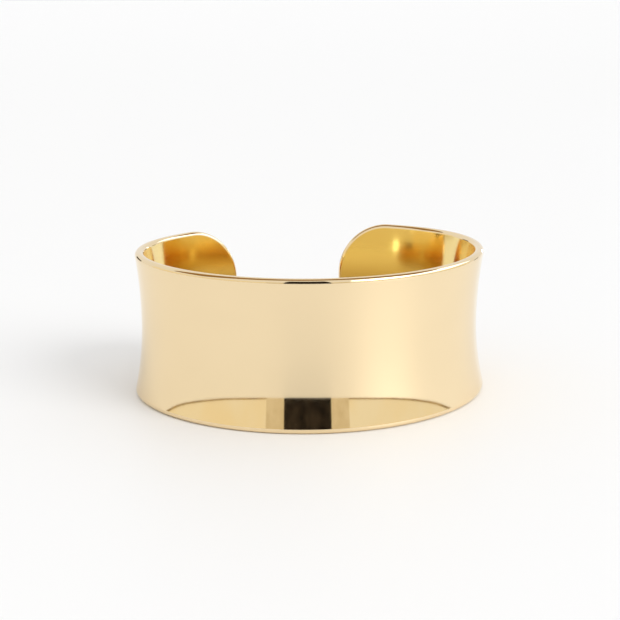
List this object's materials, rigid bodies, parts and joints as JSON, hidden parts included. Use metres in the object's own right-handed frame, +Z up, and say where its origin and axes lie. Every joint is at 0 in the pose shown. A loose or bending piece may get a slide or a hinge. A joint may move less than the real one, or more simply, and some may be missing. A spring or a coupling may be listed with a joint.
{
  "type": "cuff bracelet",
  "caption": "Open oval cuff bracelet: a wide polished band, waisted at mid-height and flared towards both rims, with rounded ends and a gap for the wrist.",
  "frame": {"origin": "on the resting surface, under the middle of the band's footprint", "axes": "+Z up along the hollow for the wrist, +X along the oval's long way to the wearer's right of the gap, +Y towards the end gap at the back"},
  "size_m": [0.0668, 0.0524, 0.0271],
  "materials": {
    "polished_gold": "pale gold plate, mirror polished outside and on the edges, satin polished inside"
  },
  "bodies": {
    "root": {"cuff": "polished_gold"}
  },
  "joints": []
}
